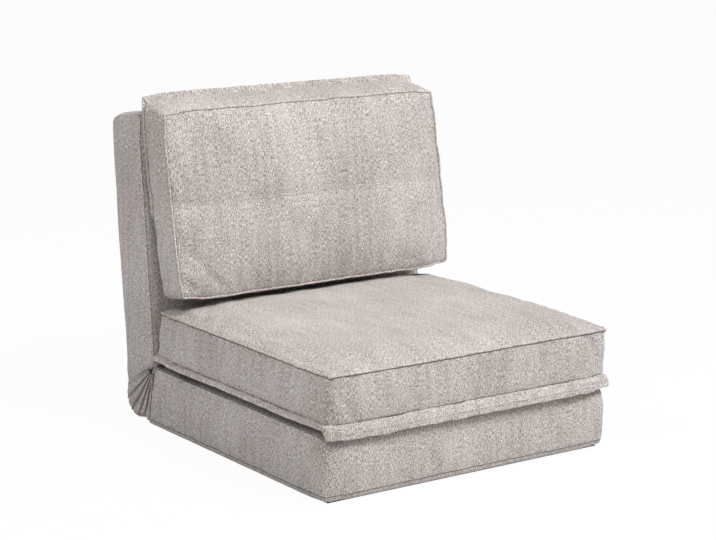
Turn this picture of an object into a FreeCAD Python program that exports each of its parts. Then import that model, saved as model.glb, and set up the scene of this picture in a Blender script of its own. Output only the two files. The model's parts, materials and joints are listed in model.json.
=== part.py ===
import FreeCAD, Part
import math
import os

# Convertible chair bed: a low upholstered base, a back panel that reclines flat on ratchet hinges,
# a seat cushion that flips forward on its front edge, and a back cushion hung from its top edge.
# Millimetres. X runs across the seat, the front faces -Y, Z is up.
# The origin is the middle of the base's underside, on the floor.

os.makedirs("parts", exist_ok=True)

# Base
base_width = 700.0
base_length = 726.0
base_height = 126.0
base_nose_radius = 30.0
base_toe_radius = 12.0
base_corner_radius = 34.0
base_edge_radius = 8.0

# Back panel, measured along its own length from the recline axis
back_lean = 7.0
back_recline = 83.0
back_thickness = 126.0
back_length = 588.0
back_corner_radius = 36.0
back_rear_radius = 28.0
back_front_radius = 14.0
back_edge_radius = 9.0

# Gathered elbow between base and back
elbow_radius = 45.0
elbow_back_reach = 40.0
elbow_base_reach = 30.0
pleat_count = 6
pleat_height = 3.6

# Seat cushion
seat_side_step = 2.0
seat_front_step = 1.0
seat_back_gap = 5.0
seat_seam_low = 150.0
seat_boxing = 99.0
seat_crown = 23.0
seat_belly = 60.0
seat_rake = 16.0
seat_corner_radius = 34.0
seat_draw = 6.0

# Seat flange and the hinge cord under it
flange_thickness = 3.0
flange_side = 9.0
flange_rear = 3.0
drape_reach = 17.0
drape_drop = 31.0
seat_axis_step = 6.0
seat_axis_rise = 10.0
hinge_cord_radius = 2.0

# Back cushion
cushion_side_step = 6.0
cushion_lean = 11.0
cushion_front_height = 380.0
cushion_rear_height = 412.0
cushion_thickness = 78.0
cushion_foot_reach = 210.0
cushion_foot_z = 288.0
cushion_crown = 18.0
cushion_channel = 5.0
cushion_channel_width = 90.0
cushion_corner_radius = 30.0
cushion_draw = 6.0
cushion_flange = 14.0

# Cloth, foam and straps
cloth = 2.0
ease = 0.4
stuffing_ease = 0.9
lining = 1.0
welt_height = 2.6
welt_proud = 1.6
strap_width = 45.0
strap_thickness = 2.0
strap_count = 5
zip_length = 520.0
zip_width = 7.0
zip_proud = 1.4

# Steel frames
tube = 20.0
tube_wall = 1.5
tube_bend = 45.0
hinge_inset = 38.0
frame_front_inset = 40.0
frame_top_inset = 45.0

# Ratchet hinges
ratchet_radius = 24.0
ratchet_thickness = 4.0
ratchet_positions = 7
ratchet_arm = 16.0
notch_depth = 3.2
notch_half_width = 2.5
pawl_back = 29.0
pawl_drop = 20.0
shell_radius = 30.0
shell_thickness = 2.5
running_gap = 0.3
pin_radius = 5.0
pawl_pin_radius = 3.0
rivet_radius = 3.0
rivet_proud = 1.2
pin_clearance = 0.05

# Places that follow from the sizes above
lean = math.radians(back_lean)
axis_z = base_height / 2
axis_y = base_length / 2 + axis_z * math.tan(lean) - back_thickness / 2 / math.cos(lean)
front_y = -base_length / 2
rear_y = base_length / 2
seat_top_seam = seat_seam_low + seat_boxing
seat_front = front_y - seat_front_step
seat_axis_y = front_y - seat_axis_step
seat_axis_z = base_height + seat_axis_rise
seat_width = base_width - 2 * seat_side_step
cushion_width = base_width - 2 * cushion_side_step
cushion_foot_y = rear_y - cushion_foot_reach
hinge_offset = base_width / 2 - hinge_inset


def vec(x, y, z):
    return FreeCAD.Vector(x, y, z)


def in_plan(z):
    return lambda x, y: vec(x, y, z)


def in_side(x):
    return lambda y, z: vec(x, y, z)


def in_front(y):
    return lambda x, z: vec(x, y, z)


def save(name, shape):
    shape.exportStep("parts/" + name + ".step")


def face_of(edges):
    return Part.Face(Part.Wire(edges))


def line(a, b):
    return Part.makeLine(a, b)


def arc(a, b, c):
    return Part.Arc(a, b, c).toShape()


def box(x0, x1, y0, y1, z0, z1):
    return Part.makeBox(x1 - x0, y1 - y0, z1 - z0, vec(x0, y0, z0))


def rod(radius, start, end):
    return Part.makeCylinder(radius, (end - start).Length, start, end - start)


def fused(shapes):
    whole = shapes[0]
    for shape in shapes[1:]:
        whole = whole.fuse(shape)
    return whole.removeSplitter()


# A closed outline through corner points, each rounded by its radius.
# draw pulls every side in towards the middle as a shallow arc.
def rounded_edges(points, radii, place, draw=0.0):
    count = len(points)
    middle_u = sum(p[0] for p in points) / count
    middle_v = sum(p[1] for p in points) / count
    starts, middles, ends = [], [], []
    for i in range(count):
        before, corner, after = points[i - 1], points[i], points[(i + 1) % count]
        a = (before[0] - corner[0], before[1] - corner[1])
        b = (after[0] - corner[0], after[1] - corner[1])
        la, lb = math.hypot(*a), math.hypot(*b)
        a, b = (a[0] / la, a[1] / la), (b[0] / lb, b[1] / lb)
        half = math.acos(max(-1.0, min(1.0, a[0] * b[0] + a[1] * b[1]))) / 2
        reach = radii[i] / math.tan(half)
        way = (a[0] + b[0], a[1] + b[1])
        length = math.hypot(*way)
        depth = radii[i] / math.sin(half) - radii[i]
        starts.append((corner[0] + a[0] * reach, corner[1] + a[1] * reach))
        ends.append((corner[0] + b[0] * reach, corner[1] + b[1] * reach))
        middles.append((corner[0] + way[0] / length * depth, corner[1] + way[1] / length * depth))
    edges = []
    for i in range(count):
        if radii[i] > 0:
            edges.append(arc(place(*starts[i]), place(*middles[i]), place(*ends[i])))
        a, b = ends[i], starts[(i + 1) % count]
        length = math.hypot(b[0] - a[0], b[1] - a[1])
        if length < 1e-4:
            continue
        if draw:
            u, v = (a[0] + b[0]) / 2, (a[1] + b[1]) / 2
            normal = ((b[1] - a[1]) / length, (a[0] - b[0]) / length)
            inward = 1 if normal[0] * (middle_u - u) + normal[1] * (middle_v - v) > 0 else -1
            bow = (u + normal[0] * draw * inward, v + normal[1] * draw * inward)
            edges.append(arc(place(*a), place(*bow), place(*b)))
        else:
            edges.append(line(place(*a), place(*b)))
    return edges


def prism(points, radii, place, direction):
    return face_of(rounded_edges(points, radii, place)).extrude(direction)


def rectangle(u0, u1, v0, v1):
    return [(u0, v0), (u1, v0), (u1, v1), (u0, v1)]


# The height of a crown at a share of its span, from its seam at -1 or 1 to the level middle
def swell(share, rise):
    return rise * (1 - share ** 4)


# Turning about the hinge axes
def turned(shape, point, degrees):
    copy = shape.copy()
    copy.rotate(point, vec(1, 0, 0), degrees)
    return copy


axis_point = vec(0, axis_y, axis_z)


# From the back panel's own upright frame, with the axis at its origin, to its place
def lean_back(shape):
    copy = shape.copy()
    copy.translate(axis_point)
    return turned(copy, axis_point, -back_lean)


# The place of a point that lies along the back panel and out from its middle plane
def back_point(along, out):
    y = axis_y + along * math.sin(lean) - out * math.cos(lean)
    z = axis_z + along * math.cos(lean) + out * math.sin(lean)
    return y, z


# The point on the back panel's front face at a height
def back_front_y(z):
    return axis_y - back_thickness / 2 / math.cos(lean) + (z - axis_z) * math.tan(lean)


inner_corner = (back_front_y(base_height), base_height)
elbow_foot = (axis_y - elbow_base_reach, 0.0)
elbow_top = back_point(elbow_back_reach, -back_thickness / 2)
far = 400.0


def reach_on(a, b, share):
    return a[0] + (b[0] - a[0]) * share, a[1] + (b[1] - a[1]) * share


# The solid filled by the base cover, less a wall all round
def base_form(inset):
    y0, y1 = front_y + inset, inner_corner[0]
    z0, z1 = lining + inset, base_height - inset
    nose = max(base_nose_radius - inset, 2.0)
    toe = max(base_toe_radius - inset, 2.0)
    corner = max(base_corner_radius - inset, 2.0)
    edge = max(base_edge_radius - inset, 1.0)
    half = base_width / 2 - inset
    side = [(y0, z0), (elbow_foot[0], z0), (y1, z1), (y0, z1)]
    whole = prism(side, [toe, 0, 0, nose], in_side(-half), vec(2 * half, 0, 0))
    plan = rectangle(-half, half, y0, rear_y)
    whole = whole.common(prism(plan, [corner, corner, 0, 0], in_plan(0), vec(0, 0, base_height)))
    section = rectangle(-half, half, z0, z1)
    return whole.common(prism(section, [edge] * 4, in_front(y0 - 1), vec(0, base_length, 0)))


# The part of space in front of the elbow, where the base's stuffing ends
def elbow_cut(inset):
    foot, top = elbow_foot[0] - inset, inner_corner[0] - inset
    points = [(foot, -far), (far * 3, -far), (far * 3, far), (top, far)]
    slope = (inner_corner[0] - elbow_foot[0]) / base_height
    points[0] = (foot - slope * far, -far)
    points[3] = (top + slope * (far - base_height), far)
    return prism(points, [0] * 4, in_side(-far), vec(2 * far, 0, 0))


def hinge_pocket(low, high):
    gap = ease + shell_thickness
    half = tube / 2 + gap
    y0 = axis_y - pawl_back - tube
    cut = [box(s * hinge_offset - half, s * hinge_offset + half, y0, far, low, high) for s in (-1, 1)]
    return cut[0].fuse(cut[1])


def zip_strip(y, z):
    # A zip lies flat on the cloth: its two rows of teeth as one band, with its slider
    half = zip_length / 2
    band = box(-half, half, y, y + zip_proud, z, z + zip_width)
    low, high = z - zip_proud, z + zip_width + zip_proud
    return band.fuse(box(half - 2 * zip_width, half, y, y + 2 * zip_proud, low, high))


def welt_ring(points, radii, place, direction, form, proud):
    # The folded seam stands proud of the cloth as a thin band
    grown = []
    u = [p[0] for p in points]
    v = [p[1] for p in points]
    mid_u, mid_v = (min(u) + max(u)) / 2, (min(v) + max(v)) / 2
    for p in points:
        grown.append((p[0] + math.copysign(proud, p[0] - mid_u), p[1] + math.copysign(proud, p[1] - mid_v)))
    ring = prism(grown, [r + proud if r else 0 for r in radii], place, direction)
    return ring.cut(form)


def make_base():
    outer = base_form(0)
    hollow = base_form(cloth)
    # The cover is open at the elbow, where the next piece of cloth is sewn on
    opening = base_form(cloth)
    opening.translate(vec(0, 2 * cloth, 0))
    cover = outer.cut(hollow.fuse(opening))
    save("base_cover", cover)

    half = base_width / 2 - base_toe_radius
    under = prism(
        rectangle(-half, half, front_y + base_toe_radius, elbow_foot[0] - 3 * zip_width),
        [base_corner_radius, base_corner_radius, 1, 1], in_plan(0), vec(0, 0, lining))
    save("base_underside", under)

    rail_low, rail_high = axis_z - tube / 2, axis_z + tube / 2
    strap_top = rail_high + strap_thickness
    foam = base_form(cloth + ease).cut(elbow_cut(ease))
    upper = foam.common(box(-far, far, -far, far, strap_top + ease, base_height))
    lower = foam.common(box(-far, far, -far, far, 0, rail_low - ease))
    save("base_foam_upper", upper)
    save("base_foam_lower", lower.cut(hinge_pocket(0, base_height)))

    band_radius = base_corner_radius
    ring_z = base_height - base_edge_radius - welt_height
    ring = welt_ring(
        rectangle(-base_width / 2, base_width / 2, front_y, rear_y), [band_radius, band_radius, 0, 0],
        in_plan(ring_z), vec(0, 0, welt_height), outer, welt_proud)
    ring = ring.common(box(-far, far, front_y + base_nose_radius, far, 0, base_height)).cut(elbow_cut(0))
    save("base_welt", ring)

    # A zip behind the underside panel lets the cover come off
    zip_y = elbow_foot[0] - 2 * zip_width
    save("base_zip", box(-zip_length / 2, zip_length / 2, zip_y, zip_y + zip_width, 0.1 * lining, lining))


def u_band(half, end, bend, place, direction):
    # One bent length: two side tubes and the cross tube between them, all in one plane
    way = math.copysign(half, end - bend)
    wide, narrow = hinge_offset + half, hinge_offset - half
    outside = prism(rectangle(-wide, wide, bend - way, end), [tube_bend + half] * 2 + [0, 0], place, direction)
    inside = prism(rectangle(-narrow, narrow, bend + way, end), [tube_bend - half] * 2 + [0, 0], place, direction)
    return outside.cut(inside)


def u_tube(end, bend, plane, level, up):
    # A square tube with its wall, bent along the band's middle line
    half, hollow = tube / 2, tube / 2 - tube_wall
    whole = u_band(half, end, bend, plane(level - half), up * tube)
    return whole.cut(u_band(hollow, end, bend, plane(level - hollow), up * (2 * hollow)))


def cross_rail(y):
    reach = hinge_offset - tube / 2
    half = tube / 2
    rail = box(-reach, reach, y - half, y + half, axis_z - half, axis_z + half)
    half -= tube_wall
    return rail.cut(box(-reach - 1, reach + 1, y - half, y + half, axis_z - half, axis_z + half))


tube_end = axis_y - pawl_back - tube
frame_front = front_y + frame_front_inset


def make_base_frame():
    frame = u_tube(tube_end, frame_front, in_plan, axis_z, vec(0, 0, 1))
    save("base_frame", frame.cut(tube_rivet_holes()))
    rear = tube_end - 2.6 * tube
    save("base_cross_rails", Part.makeCompound([cross_rail(rear), cross_rail((rear + frame_front) / 2)]))
    # Elastic straps lie across the side tubes and carry the foam
    straps = []
    reach = hinge_offset + tube / 2
    first, last = frame_front + tube, rear - tube
    for i in range(strap_count):
        y = first + (last - first) * (i + 0.5) / strap_count
        straps.append(box(-reach, reach, y - strap_width / 2, y + strap_width / 2,
                          axis_z + tube / 2, axis_z + tube / 2 + strap_thickness))
    save("base_straps", Part.makeCompound(straps))


# Ratchet hinges: toothed plates on the back, shells, pins and pawls on the base
pawl_point = vec(0, axis_y - pawl_back, axis_z - pawl_drop)
rivet_place = (tube_end - tube, axis_z)
shell_gap = ratchet_thickness / 2 + running_gap
plate_rivet_along = elbow_back_reach + tube


def side_rod(radius, y, z, x0, x1):
    return rod(radius, vec(x0, y, z), vec(x1, y, z))


def tube_rivet_holes():
    return side_rod(rivet_radius + pin_clearance, *rivet_place, -far, far)


def ratchet_plate(x):
    # Seven notches, one for each stop of the back, on the side that faces the pawl
    half = ratchet_thickness / 2
    plate = side_rod(ratchet_radius, axis_y, axis_z, x - half, x + half)
    length = elbow_back_reach + 2 * tube
    arm = box(x - half, x + half, -ratchet_arm / 2, ratchet_arm / 2, 0, length)
    plate = plate.fuse(lean_back(arm))
    for i in range(ratchet_positions):
        angle = math.radians(180 + back_recline * i / (ratchet_positions - 1))
        radial = (math.cos(angle), math.sin(angle))
        across = (-radial[1], radial[0])
        rim, apex = ratchet_radius + 1, ratchet_radius - notch_depth

        def at(r, s):
            y = axis_y + radial[0] * r + across[0] * s
            return vec(x - half, y, axis_z + radial[1] * r + across[1] * s)

        wide = notch_half_width * (rim - apex) / notch_depth
        corners = [at(apex, 0), at(rim, wide), at(rim, -wide)]
        notch = Part.Face(Part.makePolygon(corners + corners[:1])).extrude(vec(ratchet_thickness, 0, 0))
        plate = plate.cut(notch)
    plate = plate.cut(side_rod(pin_radius + pin_clearance, axis_y, axis_z, x - half - 1, x + half + 1))
    rivet_y, rivet_z = back_point(plate_rivet_along, 0)
    return plate.cut(side_rod(rivet_radius + pin_clearance, rivet_y, rivet_z, x - half - 1, x + half + 1))


def hinge_shell(x, way):
    # A pressed plate: apart by a tube's width at its neck, then stepped in beside the ratchet plate
    t = shell_thickness
    near, wide = shell_gap, tube / 2
    neck, stepped = tube_end - 2 * tube, pawl_point.y - 2.5 * pawl_pin_radius
    inner = [(x + way * wide, neck), (x + way * wide, stepped - tube / 2), (x + way * near, stepped),
             (x + way * near, axis_y + far)]
    outer = [(u + way * t, v) for u, v in reversed(inner)]
    strip = prism(inner + outer, [0] * 8, in_plan(axis_z - 2 * tube), vec(0, 0, 4 * tube))
    x0 = x - tube
    disc = side_rod(shell_radius, axis_y, axis_z, x0, x0 + 2 * tube)
    ear = side_rod(2.5 * pawl_pin_radius, pawl_point.y, pawl_point.z, x0, x0 + 2 * tube)
    strap = box(x0, x0 + 2 * tube, neck, axis_y, axis_z - tube / 2, axis_z + tube / 2)
    web_points = [(pawl_point.y - 7, pawl_point.z - 4), (axis_y, axis_z - shell_radius + 2), (axis_y, axis_z),
                  (pawl_point.y - 7, axis_z)]
    web = prism(web_points, [0] * 4, in_side(x0), vec(2 * tube, 0, 0))
    outline = fused([disc, ear, strap, web])
    shell = strip.common(outline)
    shell = shell.cut(side_rod(pin_radius + pin_clearance, axis_y, axis_z, x0, x0 + 2 * tube))
    shell = shell.cut(side_rod(pawl_pin_radius + pin_clearance, pawl_point.y, pawl_point.z, x0, x0 + 2 * tube))
    return shell.cut(tube_rivet_holes())


def hexagon(y, z, radius, x, length):
    corners = [vec(x, y + radius * math.sin(math.radians(60 * i)), z + radius * math.cos(math.radians(60 * i)))
               for i in range(6)]
    return Part.Face(Part.makePolygon(corners + corners[:1])).extrude(vec(length, 0, 0))


def shoulder_bolt(radius, y, z, x0, x1):
    # A shank between a hexagon head and its nut
    head = 0.45 * radius
    return fused([side_rod(radius, y, z, x0 - head, x1 + head), hexagon(y, z, 1.6 * radius, x0 - head, head),
                  hexagon(y, z, 1.6 * radius, x1, head)])


def rivet(y, z, x0, x1):
    return side_rod(rivet_radius, y, z, x0 - rivet_proud, x1 + rivet_proud)


def pawl(x):
    # Shown in its notch, where it locks the back
    half = ratchet_thickness / 2
    q = pawl_point
    tip = axis_y - ratchet_radius + notch_depth - running_gap
    face = axis_y - ratchet_radius - 1.5
    tooth = 0.8 * notch_half_width
    points = [(q.y - 4, q.z), (q.y + 4, q.z), (face, axis_z - 4), (face, axis_z - tooth), (tip, axis_z),
              (face, axis_z + tooth), (face, axis_z + 6), (face - 6, axis_z + 6)]
    body = prism(points, [0] * len(points), in_side(x - half), vec(2 * half, 0, 0))
    boss = side_rod(2 * pawl_pin_radius, q.y, q.z, x - half, x + half)
    hole = side_rod(pawl_pin_radius + pin_clearance, q.y, q.z, x - half - 1, x + half + 1)
    return fused([body, boss]).cut(hole)


def make_hinges():
    sides = (("left", -1), ("right", 1))
    for name, s in sides:
        save("pawl_" + name, pawl(s * hinge_offset))
    save("hinge_shells_outer", Part.makeCompound([hinge_shell(s * hinge_offset, s) for _, s in sides]))
    save("hinge_shells_inner", Part.makeCompound([hinge_shell(s * hinge_offset, -s) for _, s in sides]))
    save("ratchet_plates", Part.makeCompound([ratchet_plate(s * hinge_offset) for _, s in sides]))
    bolts, pins, rivets, plate_rivets = [], [], [], []
    for name, s in sides:
        x = s * hinge_offset
        reach = shell_gap + shell_thickness
        bolts.append(shoulder_bolt(pin_radius, axis_y, axis_z, x - reach, x + reach))
        pins.append(shoulder_bolt(pawl_pin_radius, pawl_point.y, pawl_point.z, x - reach, x + reach))
        reach = tube / 2 + shell_thickness
        rivets.append(rivet(*rivet_place, x - reach, x + reach))
        plate_rivets.append(rivet(*back_point(plate_rivet_along, 0), x - tube / 2, x + tube / 2))
    save("hinge_pins", Part.makeCompound(bolts))
    save("pawl_pins", Part.makeCompound(pins))
    save("base_tube_rivets", Part.makeCompound(rivets))
    save("ratchet_rivets", Part.makeCompound(plate_rivets))


# The elbow: a wedge of cloth and foam that fans out from the inner corner.
# over carries it past the two faces where it meets the base and the back.
def elbow_form(inset, over=0.0):
    corner = (rear_y - inset / math.cos(lean) + inset * math.tan(lean), inset)
    shift = (over * math.sin(lean) - inset * math.cos(lean), over * math.cos(lean) + inset * math.sin(lean))
    top = (elbow_top[0] + shift[0], elbow_top[1] + shift[1])
    tip = inner_corner[1] - 2 * cloth - inset
    apex_y = reach_on(elbow_foot, inner_corner, tip / base_height)[0] + ease
    half = base_width / 2 - inset
    points = [(apex_y + over, tip + over), (apex_y - over, tip + over), (elbow_foot[0] + ease - over, inset), corner, top]
    radii = [0, 0, 0, elbow_radius - inset, 0]
    if not over:
        points, radii = points[1:], radii[1:]
    return prism(points, radii, in_side(-half), vec(2 * half, 0, 0))


def fold(x, side, start, way, reach):
    # One gather: a three-sided ridge that grows from a point to its full height
    sections = []
    for along, height in ((0, 0.6), (reach, pleat_height)):
        y, z = start[0] + way[0] * along, start[1] + way[1] * along
        half = 1.3 * height
        corners = [vec(x, y - way[1] * half, z + way[0] * half), vec(x + side * height, y, z),
                   vec(x, y + way[1] * half, z - way[0] * half)]
        sections.append(Part.makePolygon(corners + corners[:1]))
    return Part.makeLoft(sections, True, True)


def pleats(side):
    # Gathers run from the inner corner to the outer bend and widen on the way
    folds = []
    x = side * (base_width / 2 - 0.4)
    start = (inner_corner[0] + 8, inner_corner[1] - 20)
    first = math.atan2(-start[1], elbow_foot[0] - start[0])
    last = math.atan2(elbow_top[1] - start[1], elbow_top[0] - start[0])
    for i in range(pleat_count):
        share = (i + 0.7) / (pleat_count + 0.4)
        angle = first + (last - first) * share
        bend_y, bend_z = rear_y - elbow_radius * 0.9, elbow_radius
        # The fold ends on the outer bend
        dy, dz = math.cos(angle), math.sin(angle)
        by, bz = start[0] - bend_y, start[1] - bend_z
        dot = by * dy + bz * dz
        reach = -dot + math.sqrt(max(dot * dot - (by * by + bz * bz) + (elbow_radius - 5) ** 2, 0))
        folds.append(fold(x, side, start, (dy, dz), reach))
    return folds


def make_elbow():
    outer = elbow_form(0)
    cover = outer.cut(elbow_form(cloth, over=4 * cloth))
    cover = fused([cover] + pleats(-1) + pleats(1))
    save("elbow_cover", cover)
    foam = elbow_form(cloth + ease)
    reach = hinge_offset - tube - shell_thickness
    save("elbow_foam", foam.common(box(-reach, reach, -far, far, 0, base_height + far)))


# The back panel, made upright about the recline axis
def back_form(inset):
    half = base_width / 2 - inset
    deep = back_thickness / 2 - inset
    top = back_length - inset
    rear, front = back_rear_radius - inset, back_front_radius - inset
    edge, corner = back_edge_radius - inset, back_corner_radius - inset
    side = [(-deep, 0), (deep, 0), (deep, top), (-deep, top)]
    whole = prism(side, [0, 0, rear, front], in_side(-half), vec(2 * half, 0, 0))
    face = rectangle(-half, half, 0, top)
    whole = whole.common(prism(face, [0, 0, corner, corner], in_front(-far), vec(0, 2 * far, 0)))
    section = rectangle(-half, half, -deep, deep)
    return whole.common(prism(section, [edge] * 4, in_plan(0), vec(0, 0, back_length)))


def to_back_frame(y, z):
    dy, dz = y - axis_y, z - axis_z
    return dy * math.cos(lean) - dz * math.sin(lean), dy * math.sin(lean) + dz * math.cos(lean)


# The space below the line from the inner corner to the elbow's top, in the back's own frame
def back_foot_cut(slack):
    a = to_back_frame(*inner_corner)
    b = to_back_frame(*elbow_top)
    slope = (b[1] - a[1]) / (b[0] - a[0])
    points = [(a[0] - far, a[1] + slack - slope * far), (b[0] + far, b[1] + slack + slope * far), (b[0] + far, -far * 3),
              (a[0] - far, -far * 3)]
    return prism(points, [0] * 4, in_side(-far), vec(2 * far, 0, 0))


def make_back():
    outer = back_form(0)
    hollow = back_form(cloth)
    cover = outer.cut(hollow).cut(back_foot_cut(0))
    save("back_cover", lean_back(cover))

    depth = tube / 2
    foam = back_form(cloth + ease).cut(back_foot_cut(ease))
    front = foam.common(box(-far, far, -far, -depth - strap_thickness - ease, -far, 2 * far))
    rear = foam.common(box(-far, far, depth + ease, far, -far, 2 * far))
    save("back_foam_front", lean_back(front))
    save("back_foam_rear", lean_back(rear))

    low, high = elbow_back_reach - 4, back_length - frame_top_inset
    frame = u_tube(low, high, in_front, 0, vec(0, 1, 0))
    frame = frame.cut(side_rod(rivet_radius + pin_clearance, 0, plate_rivet_along, -far, far))
    save("back_frame", lean_back(frame))

    reach = hinge_offset - tube / 2
    half, inner = tube / 2, tube / 2 - tube_wall
    rails = []
    for along in (low + 3 * tube, (low + high) / 2):
        rail = box(-reach, reach, -half, half, along - half, along + half)
        rail = rail.cut(box(-reach - 1, reach + 1, -inner, inner, along - inner, along + inner))
        rails.append(lean_back(rail))
    save("back_cross_rails", Part.makeCompound(rails))

    straps = []
    reach = hinge_offset + tube / 2
    first, last = low + 4 * tube, high - tube
    for i in range(strap_count - 1):
        along = first + (last - first) * (i + 0.5) / (strap_count - 1)
        strap = box(-reach, reach, -depth - strap_thickness, -depth, along - strap_width / 2, along + strap_width / 2)
        straps.append(lean_back(strap))
    save("back_straps", Part.makeCompound(straps))

    face = rectangle(-base_width / 2, base_width / 2, 0, back_length)
    seam = -back_thickness / 2 + back_edge_radius
    ring = welt_ring(face, [0, 0, back_corner_radius, back_corner_radius], in_front(seam), vec(0, welt_height, 0),
                     outer, welt_proud)
    save("back_welt", lean_back(ring.cut(back_foot_cut(0))))

    # The back cover closes with a zip low on its rear face
    strip = zip_strip(back_thickness / 2, elbow_back_reach + 3 * zip_width)
    save("back_zip", lean_back(strip))


# Cushions are built of rings, one above another. The rings of the boxing pull in between its two
# seams, and those of the crown close in as they rise. The stuffing and the hollow round it have
# plainer rings with their corners cut off, clear of the drawn-in sides all the way.
crown_steps = (0.09, 0.2, 0.36, 0.6)
boxing_levels = (0.0, 0.3, 0.7, 1.0)


def drawn(level, draw):
    return draw * 4 * level * (1 - level)


def cut_corners(points, reach):
    (u0, v0), (u1, v1) = points[0], points[2]
    return [(u0 + reach, v0), (u1 - reach, v0), (u1, v0 + reach), (u1, v1 - reach),
            (u1 - reach, v1), (u0 + reach, v1), (u0, v1 - reach), (u0, v0 + reach)]


# A closed solid of flat faces between rings of points
def stacked(rings):
    loops = [rings[0], rings[-1]]
    for below, above in zip(rings, rings[1:]):
        for i in range(len(below)):
            loops.append([below[i - 1], below[i], above[i], above[i - 1]])
    solid = Part.makeSolid(Part.makeShell([Part.Face(Part.makePolygon(loop + loop[:1])) for loop in loops]))
    if solid.Volume < 0:
        solid.reverse()
    return solid


def crown_rings(inset, span, crown, seam):
    return [(inset + step * span, seam - inset + swell(1 - step, crown)) for step in crown_steps]


# points(rise, stand_in) gives a ring's outline and plane(rise) its place
def stuffed_form(points, plane, inset, corner, draw, deep, crowns, below):
    if inset:
        side = inset + 1.4 * draw
        steps = below + [(side, inset), (side, deep - inset)] + crowns
        rings = []
        for stand_in, rise in steps:
            place = plane(rise)
            outline = cut_corners(points(rise, stand_in), 0.3 * corner + 0.25 * stand_in)
            rings.append([place(*point) for point in outline])
        return stacked(rings)
    sections = []
    for level in boxing_levels:
        rise, pull = deep * level, drawn(level, draw)
        sections.append(Part.Wire(rounded_edges(points(rise, pull / 3), [corner] * 4, plane(rise), draw=pull)))
    parts = [Part.makeLoft(sections, True, True)]
    for steps, seam in ((crowns, deep), (list(reversed(below)), 0.0)):
        if steps:
            reach = plane(steps[-1][1])(0, 0) - plane(seam)(0, 0)
            bound = prism(points(seam, 0.0), [corner] * 4, plane(seam), reach)
            rings = []
            for stand_in, rise in [(0.0, seam)] + steps:
                place = plane(rise)
                rings.append([place(*point) for point in points(rise, stand_in)])
            parts.append(stacked(rings).common(bound))
    return fused(parts)


def seat_rear(z):
    return back_front_y(z) - seat_back_gap


def seat_points(rise, stand_in):
    half = seat_width / 2 - stand_in
    level = max(0.0, min(1.0, rise / seat_boxing))
    return rectangle(-half, half, seat_front + stand_in, seat_rear(seat_seam_low) - seat_rake * level - stand_in)


def seat_form(inset):
    # Flat where it rests on the base
    rest = base_height + ease + inset - seat_seam_low
    crowns = crown_rings(inset, seat_width / 2, seat_crown, seat_boxing)
    return stuffed_form(seat_points, lambda rise: in_plan(seat_seam_low + rise), inset, seat_corner_radius, seat_draw,
                        seat_boxing, crowns, [(inset + seat_belly, rest)])


def seam_band(points, radii, place, direction):
    # The folded seam stands proud of the cloth as a thin band
    (u0, v0), (u1, v1) = points[0], points[2]
    grown = rectangle(u0 - welt_proud, u1 + welt_proud, v0 - welt_proud, v1 + welt_proud)
    ring = prism(grown, [radius + welt_proud for radius in radii], place, direction)
    return ring.cut(prism(points, radii, place, direction))


def make_seat():
    outer = seat_form(0)
    rear = seat_rear(seat_seam_low)
    # The cover opens along a zip in its rear boxing
    slot_z = seat_seam_low + seat_boxing / 3
    deep = seat_rake + 2 * seat_draw + 4 * cloth
    slot = box(-zip_length / 2, zip_length / 2, rear - deep, rear + 1, slot_z, slot_z + zip_width)
    save("seat_cover", outer.cut(seat_form(cloth)).cut(slot))
    save("seat_foam", seat_form(cloth + stuffing_ease))
    save("seat_zip", slot.common(outer).cut(seat_form(cloth + ease / 2)))

    radii = [seat_corner_radius] * 4
    save("seat_top_welt", seam_band(seat_points(seat_boxing, 0), radii, in_plan(seat_top_seam - welt_height / 2),
                                    vec(0, 0, welt_height)))
    make_seat_flange()


def make_seat_flange():
    # The lower seam's wide flange: level at the sides and rear, hanging over the base in front
    z = seat_seam_low - flange_thickness / 2
    half = seat_width / 2
    rear = seat_rear(seat_seam_low)
    plate = prism(rectangle(-half - flange_side, half + flange_side, seat_front, rear + flange_rear),
                  [2, 2, seat_corner_radius, seat_corner_radius], in_plan(z), vec(0, 0, flange_thickness))
    plate = plate.cut(prism(seat_points(0, 0), [seat_corner_radius] * 4, in_plan(z),
                            vec(0, 0, flange_thickness)))
    t = flange_thickness
    top = (seat_front, z + t)
    tip = (seat_front - drape_reach, z + t - drape_drop)
    bow = (seat_front - 0.72 * drape_reach, z + t - 0.3 * drape_drop)
    x = -half - flange_side * 0.3
    place = in_side(x)
    edges = [
        arc(place(*top), place(*bow), place(*tip)),
        line(place(*tip), place(tip[0] + t, tip[1])),
        arc(place(tip[0] + t, tip[1]), place(bow[0] + 0.8 * t, bow[1] - 0.7 * t), place(top[0], z)),
        line(place(top[0], z), place(*top))]
    drape = face_of(edges).extrude(vec(-2 * x, 0, 0))
    save("seat_flange", fused([plate, drape]))


def make_seat_hinge():
    # A cord sewn along the base's front edge: the seat turns about it
    half = seat_width / 2 - seat_corner_radius
    y, z = seat_axis_y, seat_axis_z
    cord = side_rod(hinge_cord_radius, y, z, -half, half)
    land = front_y + base_nose_radius + 6
    t = hinge_cord_radius / 2
    place = in_side(-half)
    corners = [place(y, z - hinge_cord_radius), place(land, base_height + 0.02), place(land, base_height + t),
               place(y, z - hinge_cord_radius + 2 * t)]
    tab = Part.Face(Part.makePolygon(corners + corners[:1])).extrude(vec(2 * half, 0, 0))
    save("seat_hinge_strip", fused([cord, tab.cut(base_form(0))]))


# The back cushion, made upright with its lower front seam at the origin
cushion_point = vec(0, cushion_foot_y, cushion_foot_z)


def place_cushion(shape):
    copy = shape.copy()
    copy.translate(cushion_point)
    return turned(copy, cushion_point, -cushion_lean)


def cushion_height(depth):
    rise = cushion_rear_height - cushion_front_height
    return cushion_front_height + rise * max(depth, 0.0) / cushion_thickness


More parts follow.
